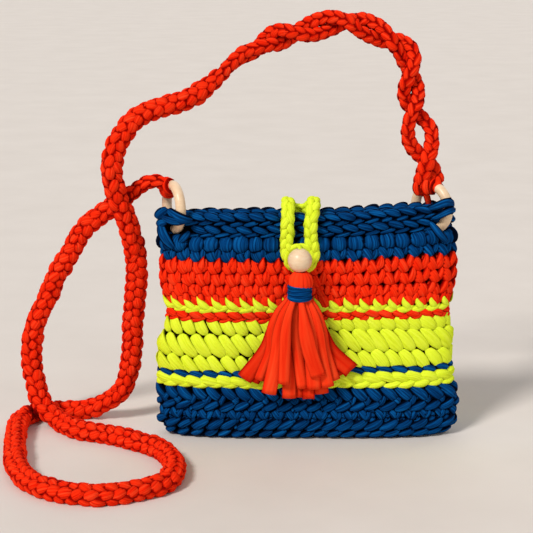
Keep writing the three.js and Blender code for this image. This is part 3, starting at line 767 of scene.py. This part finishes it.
def pouch_floor(yarn):
    """The closed floor: a thin slab out to the foot of the wall."""
    columns = 84
    thick = 3.0
    way = np.linspace(0, OUTLINE, columns, endpoint=False)
    edge = wall_point(way, np.full(columns, 2.2), -3.0)
    low = np.stack([edge, edge * [1, 0, 1]], axis=1)
    belt = np.concatenate([low, low[:, ::-1] + [0, 0, thick]], axis=1)
    # The slab keeps a painted light of 0: it is painted in full shade.
    yarn.add_tubes(np.concatenate([belt, belt[:1]])[None])


def underside(yarn, count):
    """Two rounds of stitches under the edge of the base."""
    step = np.linspace(-0.7, 0.7, 7)
    way = (np.arange(count)[:, None] + step) * OUTLINE / count
    for offset in (-5.0, -11.0):
        centres = wall_point(way, np.full(way.shape, 3.0), offset + 1.6 * step)
        yarn.leaves(centres, np.broadcast_to(-UP, centres.shape), 3.2, 2.3)


def navy_bottom():
    """The base: its floor, two chains with knots between them, and a foot."""
    yarn = band(3.5, 46, (14, 22, 30, 38, 46))
    count = 42
    row = partial(wall_row, yarn, count)
    pouch_floor(yarn)
    fat = [(-0.52, 47.6, -4.2), (0.0, 41.0, -1.7), (0.56, 33.8, -4.2)]
    slim = [(-0.10, 29.6, -4.4), (0.06, 34.6, -2.8), (0.30, 40.0, -4.6)]
    lump = [(-0.24, 36.8, -4.4), (0.0, 34.6, -2.8), (0.22, 31.4, -4.4)]
    upper_chain = [(-0.62, 25.8, -4.0), (0.0, 29.6, -1.8), (0.60, 33.6, -4.2)]
    left_knot = [(-0.30, 26.4, -4.4), (0.0, 22.4, -2.6), (0.22, 17.4, -4.4)]
    right_knot = [(-0.12, 17.4, -4.6), (0.04, 21.4, -2.9), (0.24, 26.0, -4.6)]
    lower_chain = [(-0.64, 9.0, -4.0), (0.0, 13.2, -1.6), (0.62, 17.6, -4.2)]
    foot = [(-0.6, 3.4, -3.8), (0.0, 5.6, -2.2), (0.6, 8.6, -4.2)]
    for height in (37.0, 26.5, 21.3, 17.0, 10.8):
        filler = [(-0.36, height - 1.5, -5.2), (0.0, height, -3.5), (0.36, height + 1.5, -5.2)]
        wall_row(yarn, 2 * count, filler, 3.4, 2.4, 0.2, sides=8)
    row(slim, 3.2, 2.8, 0.15)
    row(lump, 3.4, 2.8, 0.12)
    row(fat, 5.0, 3.7, -0.35)
    row(upper_chain, 3.7, 3.4, -0.42)
    row(right_knot, 3.4, 2.9, 0.20)
    row(left_knot, 3.7, 3.1, -0.05)
    row(lower_chain, 4.0, 3.6, -0.33)
    row(foot, 3.4, 3.0, 0.10)
    underside(yarn, count)
    return yarn.mesh("navy_bottom", NAVY, above_floor, shade_creases=True)


# Cords

def face_frames(line, facing):
    """Directions across and out of a cord along its line, with its stitches turned to face one way."""
    tangent = unit(np.gradient(line, axis=0))
    facing = np.broadcast_to(np.asarray(facing, float), line.shape)
    out = unit(facing - (facing * tangent).sum(axis=1, keepdims=True) * tangent)
    return np.cross(tangent, out), out


def crochet_cord(yarn, line, half, pitch, facing, columns, leaf, roll=0.0):
    """Leaf stitches in columns round a line. Each column is its place in degrees and its lean per stitch.

    half is the cord's half width and half depth, even or along the line. leaf holds the half width and half
    depth of a stitch as shares of the cord's half width, and its length in stitches.
    """
    travelled = along_line(line)
    count = max(2, round(travelled[-1] / pitch))
    step = travelled[-1] / count
    across, out = face_frames(line, facing)
    half_width, half_depth = np.broadcast_to(half, (len(line), 2)).T
    roll = np.broadcast_to(roll, travelled.shape)
    share = np.linspace(-0.5, 0.5, 7)
    for column, (middle, lean) in enumerate(columns):
        stagger = 0.25 + 0.5 * (column % 2)
        number = np.arange(count)[:, None] + stagger + CORD_SPREAD * chance.standard_normal((count, 1))
        distance = np.clip((number + leaf[2] * share) * step, 0, travelled[-1])
        slant = lean * (1 + SLANT_SPREAD * chance.standard_normal((count, 1)))
        turned = np.radians(middle + slant * share) + np.interp(distance, travelled, roll)
        wide = np.interp(distance, travelled, half_width)[..., None]
        deep = np.interp(distance, travelled, half_depth)[..., None]
        cos = np.cos(turned)[..., None]
        sin = np.sin(turned)[..., None]
        side = sample_at(across, travelled, distance)
        up = sample_at(out, travelled, distance)
        tuck = (CORD_TUCK - CORD_END_TUCK * (2 * np.abs(share)) ** 2)[:, None]
        centre = sample_at(line, travelled, distance) + tuck * (side * wide * cos + up * deep * sin)
        outward = unit(side * deep * cos + up * wide * sin)
        size = wide[:, 3, 0] * (1 + LEAF_SPREAD * chance.standard_normal(count))
        yarn.leaves(centre, outward, leaf[0] * size, leaf[1] * size, sides=10, plump=0.5)
    thin = slice(None, None, max(1, len(line) // (2 * count)))
    yarn.rope(line[thin], out[thin], CORD_CORE * half_width.mean(), CORD_CORE * half_depth.mean(), 8)


# Columns of stitches round the strap and round a chain cord, and the size of their leaves
STRAP_COLUMNS = ((30, 42), (90, -42), (150, 42), (210, -42), (270, 42), (330, -42))
STRAP_LEAF = (0.55, 0.44, 1.28)
CHAIN_COLUMNS = ((52, 66), (128, -66), (232, 66), (308, -66))
CHAIN_LEAF = (0.64, 0.52, 1.45)


def near_ring(travelled):
    """How much fuller the twisted strands are as they come to the right ring."""
    length = travelled[-1]
    return 1 + RING_FULLNESS * smoothstep(travelled, length - RING_FULL[0], length - RING_FULL[1])


def strap():
    """The strap from the left ring, over the floor and up to the right ring."""
    twist_start = unit(np.subtract(TWIST_POINTS[1], TWIST_POINTS[0]))
    joint = np.array(TWIST_POINTS[0], float)
    run = smooth_line(np.vstack([STRAP_RUN_POINTS, joint - TWIST_LEAD * twist_start, joint]), CORD_STEP)
    twist = smooth_line(TWIST_POINTS, CORD_STEP)
    travelled = along_line(run)
    length = travelled[-1]
    slim = smoothstep(travelled, length - STRAP_SLIMS[0], length + STRAP_SLIMS[1])
    full = smoothstep(travelled, *STRAP_GROWS) * (1 - slim)
    run_half = TWIST_HALF + (STRAP_HALF - TWIST_HALF) * full[:, None]
    twist_half = TWIST_HALF * near_ring(along_line(twist))[:, None]
    roll = STRAP_ROLL * np.sin(travelled / ROLL_LENGTH)
    yarn = Yarn()
    crochet_cord(yarn, run, run_half, STRAP_PITCH, STRAP_FACING, STRAP_COLUMNS, STRAP_LEAF, roll)
    crochet_cord(yarn, twist, twist_half, TWIST_PITCH, TWIST_FACING, CHAIN_COLUMNS, CHAIN_LEAF)
    piece = yarn.mesh("strap", RED, lambda points: above_floor(clear_of_rings(points)), shade_creases=True)
    return piece, np.vstack([run[:-1], twist])


def strap_tail(main):
    """The strap's tail: it leaves the main strand and winds round it as far as the right ring."""
    line = smooth_line(TAIL_POINTS, CORD_STEP)
    travelled = along_line(line)
    nearest = main[np.argmin(np.linalg.norm(line[:, None] - main[None], axis=2), axis=1)]
    apart = (TAIL_SPACING + (1 - TAIL_SPACING) * smoothstep(travelled, 0, TAIL_MERGE))[:, None]
    line = nearest + (line - nearest) * apart
    grown = TAIL_SIZE + (1 - TAIL_SIZE) * smoothstep(travelled, 0, 0.7 * TAIL_MERGE)
    grown = grown * near_ring(travelled)
    half = TWIST_HALF * grown[:, None]
    yarn = Yarn()
    crochet_cord(yarn, line, half, TWIST_PITCH, TWIST_FACING, CHAIN_COLUMNS, CHAIN_LEAF)
    return yarn.mesh("strap_tail_cord", RED, clear_of_rings, shade_creases=True), line


def strap_end(side, name, places, towards, over, extra=()):
    """Turns of yarn round the top of a ring, at places in degrees from its highest point.

    towards is the direction in which the turns are fullest, over is how far they go past it over the top,
    and extra holds knots of further strands.
    """
    centre, axis, level = RINGS[side]
    lift = RING_ROD + 2.0
    back = -150
    yarn = Yarn()
    for place in places:
        angle = math.radians(place)
        spoke = math.sin(angle) * level + np.array([0, 0, math.cos(angle)])
        rod = centre + RING_RADIUS * spoke
        fullest = math.atan2(np.dot(towards, axis), np.dot(towards, spoke))
        turn = fullest - math.copysign(1, fullest) * np.radians(np.linspace(back, over, 15))
        loop = rod + lift * (np.cos(turn)[:, None] * spoke + np.sin(turn)[:, None] * axis)
        yarn.leaf(loop, unit(loop - rod), 3.9, 2.2, plump=0.4, tip=0.3)
    for knots in extra:
        yarn.leaf(bend_through(knots, 11), FRONT, 3.2, 2.4, plump=0.4, tip=0.3)
    return yarn.mesh(name, RED, clear_of_rings)


RIGHT_END_STRANDS = [
    [(106, 2, 222), (114, 8, 211), (119.5, 8, 197)],
    [(98, -2, 212), (101, 0, 206.5), (102.6, 3, 198)],
    [(92, -5, 222), (90.5, -5, 215.5), (94, -4, 209)],
    [(100, -7, 224), (98, -8, 217), (101, -6, 210)],
    [(108, -4, 226), (109, -4, 219.5), (106, -4, 213)],
]


# Rings, tabs and bead

def wooden_ring(side):
    """A smooth turned ring."""
    centre, axis, level = RINGS[side]
    turn = np.linspace(0, 2 * np.pi, 97)
    spokes = np.sin(turn)[:, None] * level + np.cos(turn)[:, None] * UP
    yarn = Yarn()
    yarn.rope(centre + RING_RADIUS * spokes, axis, RING_ROD, RING_ROD, 24)
    return yarn.mesh(f"wooden_ring_{side}", WOOD)


def ring_tab(name, strands):
    """Strands of the rim that pass over the front of a ring, through given knots and a half width."""
    yarn = Yarn()
    for half_width, knots in strands:
        line = bend_through(knots, 25)
        middle = np.array([line[:, 0].mean(), 0.0, line[:, 2].mean()])
        yarn.leaf(line, unit(line - middle), half_width, 2.9, plump=0.45, tip=0.3, sides=24)
    return yarn.mesh(name, NAVY, clear_of_rings)


LEFT_TAB = [
    (4.5, [(-115.5, -9, 198.0), (-109.5, -20, 195.2), (-103, -22.5, 192.6), (-95.5, -14, 190.4)]),
    (3.7, [(-121, -8, 192.4), (-114.5, -19, 191.4), (-107, -22, 190.4), (-98, -15, 191.2)]),
    (4.8, [(-122, -8, 186.5), (-119.2, -13.5, 177), (-111, -12.5, 166)]),
    (3.4, [(-98.5, -11, 179.5), (-102, -14.5, 176), (-106.5, -13, 171)]),
    (4.8, [(-124.5, -5, 190.5), (-121.5, -10, 194.5), (-116, -9, 198.5)]),
    (3.8, [(-116, -13, 188.0), (-121.5, -10, 187.0), (-123.5, -2, 182.5)]),
]
RIGHT_TAB = [
    (3.8, [(101, -9, 199.4), (107.5, -18, 203), (113.5, -21, 206), (119, -12, 204.5), (122.5, -1, 200)]),
    (3.5, [
        (104, -9, 190.6), (110, -18, 195), (115.5, -20.5, 198.5), (120.5, -12, 198.5), (123.5, -2, 196.5),
    ]),
    (3.7, [(103, -9, 187), (107, -17, 183), (112, -17.5, 177), (117, -12, 171.5)]),
]


def wooden_bead():
    """A turned bead with a hole from top to bottom."""
    inner = 4.0
    start = math.asin(BEAD_HOLE / BEAD_RADIUS)
    rise = np.linspace(start, math.pi - start, 33)
    radius = np.concatenate([BEAD_RADIUS * np.sin(rise), [BEAD_HOLE, BEAD_HOLE]])
    height = np.concatenate([-BEAD_RADIUS * np.cos(rise), [inner, -inner]])
    turn = np.linspace(0, 2 * np.pi, 65)
    x = np.cos(turn)[:, None] * radius
    y = np.sin(turn)[:, None] * radius
    rings = xyz(x, y, height) + BEAD_CENTRE
    yarn = Yarn()
    yarn.add_tubes(rings[None])
    return yarn.mesh("wooden_bead", WOOD)


# Closure loop and tassel

LOOP_POINTS = [
    (-5.5, 5, 195), (0.5, 5, 196), (4.6, 3, 199.5), (5.8, -4, 203.2), (5.4, -12, 202.4), (4.2, -18.6, 196.5),
    (2.8, -20.2, 188), (3.0, -20.1, 178), (4.2, -20.1, 170), (5.2, -20.2, 163), (3.8, -20.4, 156.5),
    (-1, -20.6, 152), (-6, -20.6, 151), (-11, -20.6, 152.5), (-15, -20.4, 157.5), (-16.8, -20.2, 165),
    (-17, -20.1, 172), (-16.5, -20.1, 181), (-16.4, -19.9, 190), (-16.2, -18.2, 196.5), (-15.8, -11, 202),
    (-15.6, -4, 203.2), (-14.8, 3, 199.5), (-11.0, 5, 196), (-5.5, 5, 195),
]
# Degrees at which each leaf of the collar over the bead starts and ends
COLLAR_ARCS = ((215, 135), (160, 80), (105, 25), (50, -30))


def closure_loop():
    """A chain cord from the back of the rim, over the mouth and down the front to the bead."""
    line = smooth_line(LOOP_POINTS, 1.0)
    yarn = Yarn()
    facing = (line - LOOP_MIDDLE_Z * UP) * [0, 1, 1]
    crochet_cord(yarn, line, LOOP_HALF, LOOP_PITCH, facing, CHAIN_COLUMNS, CHAIN_LEAF)
    for start, end in COLLAR_ARCS:
        arc = np.radians(np.linspace(start, end, 9))
        x = BEAD_CENTRE[0] + COLLAR_RADIUS * np.cos(arc)
        z = BEAD_CENTRE[2] - COLLAR_DROP + COLLAR_RADIUS * np.sin(arc)
        yarn.leaf(xyz(x, COLLAR_Y, z), FRONT, 2.6, 2.2)
    return yarn.mesh("loop", YELLOW)


def bead_cord():
    """Cord from the collar of the loop, over and down through the bead."""
    x, y, _ = BEAD_CENTRE
    over = [(x, -21.5, 170.4), (x, -26, 170.4), (x, y + 3, 169.8)]
    down = [(x, y, 168), (x, y, 162), (x, y, 152), (x, y, 148)]
    yarn = Yarn()
    yarn.rope(smooth_line(over + down, 1.2), [0.0, -0.7, 0.7], 1.8, 1.5)
    return yarn.mesh("bead_loop_cord", YELLOW)


def tassel_head():
    """Folded strips gathered under the bead."""
    yarn = Yarn()
    count = 14
    lean = 0.9
    height = np.array([150.6, 149.4, 146.4, 142.8, 139.6, 136.0, 131.0])
    radius = np.array([1.2, 4.4, 6.8, 7.6, 7.0, 5.4, 4.6])
    turn = np.radians(np.arange(count) * 360 / count + 12)[:, None]
    x = BEAD_CENTRE[0] + lean + radius * np.cos(turn)
    y = BEAD_CENTRE[1] + radius * np.sin(turn)
    centres = xyz(x, y, height)
    outs = xyz(np.cos(turn), np.sin(turn), np.zeros_like(x))
    yarn.leaves(centres, outs, 3.2, 2.7, plump=0.25, tip=0.5)
    core = BEAD_CENTRE * [1, 1, 0] + np.linspace(148.5, 128, 6)[:, None] * UP
    yarn.rope(core, FRONT, 6.0, 6.0, 14)
    return yarn.mesh("tassel_folds", CUT_RED)


def tassel_binding():
    """Flat turns of navy yarn round the neck."""
    yarn = Yarn()
    turns = 5
    lowest = 129.8
    spacing = 2.1
    turn = np.linspace(0, 2 * np.pi, 41)
    for number in range(turns):
        height = lowest + spacing * number
        radius = 8.7 + 0.25 * (-1) ** number
        x = BEAD_CENTRE[0] + radius * np.cos(turn)
        y = BEAD_CENTRE[1] + radius * np.sin(turn)
        ring = xyz(x, y, height + 0.6 * np.sin(turn + number))
        yarn.rope(ring, unit((ring - BEAD_CENTRE) * [1, 1, 0]), 1.7, 1.5, 12)
    return yarn.mesh("tassel_binding", NAVY)


# Each strip: its places across at these heights and at its end, then the height of its end, how far it
# stands off the wall, its half width and its curl
STRIP_HEIGHTS = (STRIP_TOP, 118.0, 102.0, 84.0)
TASSEL_STRIPS = [
    ((-6, -12, -17, -23, -39), 54, 6.5, 6.0, 0.5), ((0, 0, -1, -2, -2.5), 44, 6, 5.5, 0.5),
    ((6.5, 12, 15, 21, 36), 60, 6, 6.5, 0.5), ((-7, -14, -20.5, -26.5, -46), 57, 9.0, 7.0, 0.5),
    ((7.5, 12.5, 16.5, 24.5, 44), 65, 8.5, 8.0, -0.8), ((0.5, 1, 1.5, 1.7, 1.7), 41, 8.5, 5.4, 0.5),
    ((2.5, 4.5, 6, 7, 8), 40.5, 10, 5.4, -0.5), ((3.5, 9, 12, 14, 19), 45, 11.5, 6.4, 0.5),
    ((-7.5, -17.5, -23.0, -24.0, -33.5), 57, 12.5, 5.2, 0.9),
    ((-2.5, -5.5, -7.5, -8.2, -8.3), 41, 11.5, 6.2, 0.5),
    ((6.5, 14.5, 18.5, 21.5, 30), 57, 13, 5.4, 0.9), ((-5.5, -13, -16.5, -18, -25.5), 46, 15.5, 6.6, 0.6),
    ((-1.5, -3.5, -3.5, -1.5, 3), 50.5, 14.5, 5.4, 0.8), ((5, 11.5, 15, 17.5, 24), 52, 16, 5.8, 0.6),
    ((2, 6, 8.5, 10, 12.5), 50.5, 17, 6.4, 0.5), ((-4, -9, -11.5, -12, -13), 55.5, 19, 5.4, 0.8),
    ((0.5, 2.5, 5, 9, 16), 62.5, 21, 6.6, 0.5),
]


def strip_line(places, end_z, stand):
    """The middle of a strip, from the neck out over the strips under it to its end."""
    x = BEAD_CENTRE[0] + np.array(places)
    z = np.array([*STRIP_HEIGHTS, end_z])
    top_y = BEAD_CENTRE[1] + 0.8 * (12.5 - stand)
    end_y = -front_face(end_z) - stand
    bulge = 0.34 * (stand - 4)
    y = np.linspace(top_y, end_y, 5) - bulge * np.array([0, 1.1, 1.2, 0.7, 0])
    line = smooth_line(xyz(x, y, z), 4.0)
    travelled = along_line(line)
    return sample_at(line, travelled, np.linspace(0, 1, STRIP_RINGS) * travelled[-1])


def strip_sections(across, half_width, curl):
    """Thin curled sections along a strip, narrow at the neck and flatter towards its end."""
    share = np.linspace(0, 1, STRIP_RINGS)
    width = (STRIP_NECK + (half_width - STRIP_NECK) * smoothstep(share, 0, 0.5))[:, None]
    bend = (1.0 - (1.0 - abs(curl)) * smoothstep(share, 0.0, 0.6))[:, None]
    fold = across * bend
    hollow = math.copysign(1, curl) * width * (np.cos(fold) - 1) / bend
    front = np.stack([width * np.sin(fold) / bend, hollow + STRIP_THICK], axis=-1)
    back = np.stack([width * np.sin(fold) / bend, hollow - STRIP_THICK], axis=-1)[:, ::-1]
    return np.concatenate([front, back], axis=1)


def tassel_strips():
    """Cut jersey strips that fan out under the binding, the ones underneath darker with painted shade."""
    yarn = Yarn()
    across = np.linspace(-1, 1, 11)
    for places, end_z, stand, half_width, curl in TASSEL_STRIPS:
        line = strip_line(places, end_z, stand)
        sections = strip_sections(across, half_width, curl)
        # Painted light: the outer strips lightest, the ones underneath, the edges and the backs in painted
        # shade
        painted_strip_light = 0.80 + 0.16 * smoothstep(np.array(stand), 6, 17)
        painted_light = np.concatenate([painted_strip_light - 0.17 * across**6, 0.6 + 0 * across])
        facing = np.broadcast_to(FRONT, line.shape)
        yarn.sweep(line[None], facing[None], sections[None], painted_light)
    return yarn.mesh("tassel_fan", CUT_RED)


# Stage, light and camera

def stage():
    """A wide plain floor with a faint mottle. Its half size is in metres."""
    mesh = bpy.data.meshes.new("floor")
    half = 12.0
    corners = [(-half, -half, 0), (half, -half, 0), (half, half, 0), (-half, half, 0)]
    mesh.from_pydata(corners, [], [(0, 1, 2, 3)])
    material, tree, shader = new_material("floor")
    mottled(tree, shader, (9, 9, 9), [(0.3, (0.71, 0.652, 0.604)), (0.7, (0.746, 0.688, 0.64))])
    set_values(shader, {"Roughness": 0.9, "Specular IOR Level": 0.1})
    mesh.materials.append(material)
    floor = add_object("floor", mesh)


def sun(name, towards, strength, softness, colour):
    light = bpy.data.lights.new(name, "SUN")
    light.energy = strength
    light.angle = math.radians(softness)
    light.color = colour
    lamp = add_object(name, light)
    lamp.rotation_euler = Vector(towards).to_track_quat("-Z", "Y").to_euler()


def lights():
    sun("key", (0.50, 0.62, -0.72), 2.45, 14, (1.0, 0.975, 0.94))
    sun("fill", (-0.65, 0.70, -0.35), 0.35, 60, (0.96, 0.98, 1.0))
    sun("back", (-0.25, -0.80, -0.45), 0.8, 70, (1.0, 0.99, 0.97))
    world = bpy.data.worlds.new("studio")
    world.use_nodes = True
    background = world.node_tree.nodes["Background"]
    set_values(background, {"Color": (0.95, 0.95, 0.95, 1), "Strength": 0.36})
    bpy.context.scene.world = world


def camera():
    data = bpy.data.cameras.new("camera")
    data.angle = math.radians(CAMERA_FIELD)
    eye = add_object("camera", data)
    eye.location = Vector(CAMERA_PLACE) * MM
    view = Vector(CAMERA_TARGET) - Vector(CAMERA_PLACE)
    eye.rotation_euler = view.to_track_quat("-Z", "Y").to_euler()
    bpy.context.scene.camera = eye


# Putting it together

def attach(piece, body, slot, *nodes):
    """Says which body a piece moves with and hides the solids it stands for. The slot is not used."""
    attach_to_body(piece, body)
    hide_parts(*nodes)
    return piece


camera()
lights()
stage()
bpy.context.scene.view_settings.view_transform = "Standard"

strap_piece, strap_line = strap()
tail_piece, tail_line = strap_tail(strap_line)
left_end = strap_end("left", "strap_turns_left", (12, 28, 46), (-0.7, -0.6, 0.4), 55)
right_end = strap_end("right", "strap_turns_right", (-4, 14, 32), (-0.6, -0.5, 0.6), 150, RIGHT_END_STRANDS)
attach(strap_piece, "bag", "red_yarn", "strap_run", "strap_twist")
attach(tail_piece, "bag", "red_yarn", "strap_tail")
attach(left_end, "bag", "red_yarn", "strap_end_left")
attach(right_end, "bag", "red_yarn", "strap_end_right")

for make, slot, node in (
    (navy_bottom, "navy_yarn", "navy_base"),
    (yellow_chain, "yellow_yarn", "yellow_chain_stripe"),
    (navy_line, "navy_yarn", "navy_line_stripe"),
    (yellow_rows, "yellow_yarn", "yellow_band"),
    (red_chain, "red_yarn", "red_chain_stripe"),
    (yellow_spikes, "yellow_yarn", "yellow_spike_stripe"),
    (red_rows, "red_yarn", "red_band"),
    (navy_top, "navy_yarn", "navy_top_band"),
):
    attach(make(), "bag", slot, node)

attach(wooden_ring("left"), "left_ring", "pale_wood", "ring_left")
attach(wooden_ring("right"), "right_ring", "pale_wood", "ring_right")
attach(ring_tab("tab_left", LEFT_TAB), "bag", "navy_yarn", "ring_tab_left")
attach(ring_tab("tab_right", RIGHT_TAB), "bag", "navy_yarn", "ring_tab_right")

attach(closure_loop(), "bag", "yellow_yarn", "closure_loop")
attach(wooden_bead(), "bead", "pale_wood", "bead")
attach(bead_cord(), "tassel", "yellow_yarn", "bead_cord")
attach(tassel_head(), "tassel", "red_yarn", "tassel_head")
attach(tassel_binding(), "tassel", "navy_yarn", "tassel_wrap")
strip_nodes = [node for node in frame["nodes"] if node.startswith("tassel_strip_")]
attach(tassel_strips(), "tassel", "red_yarn", *strip_nodes)
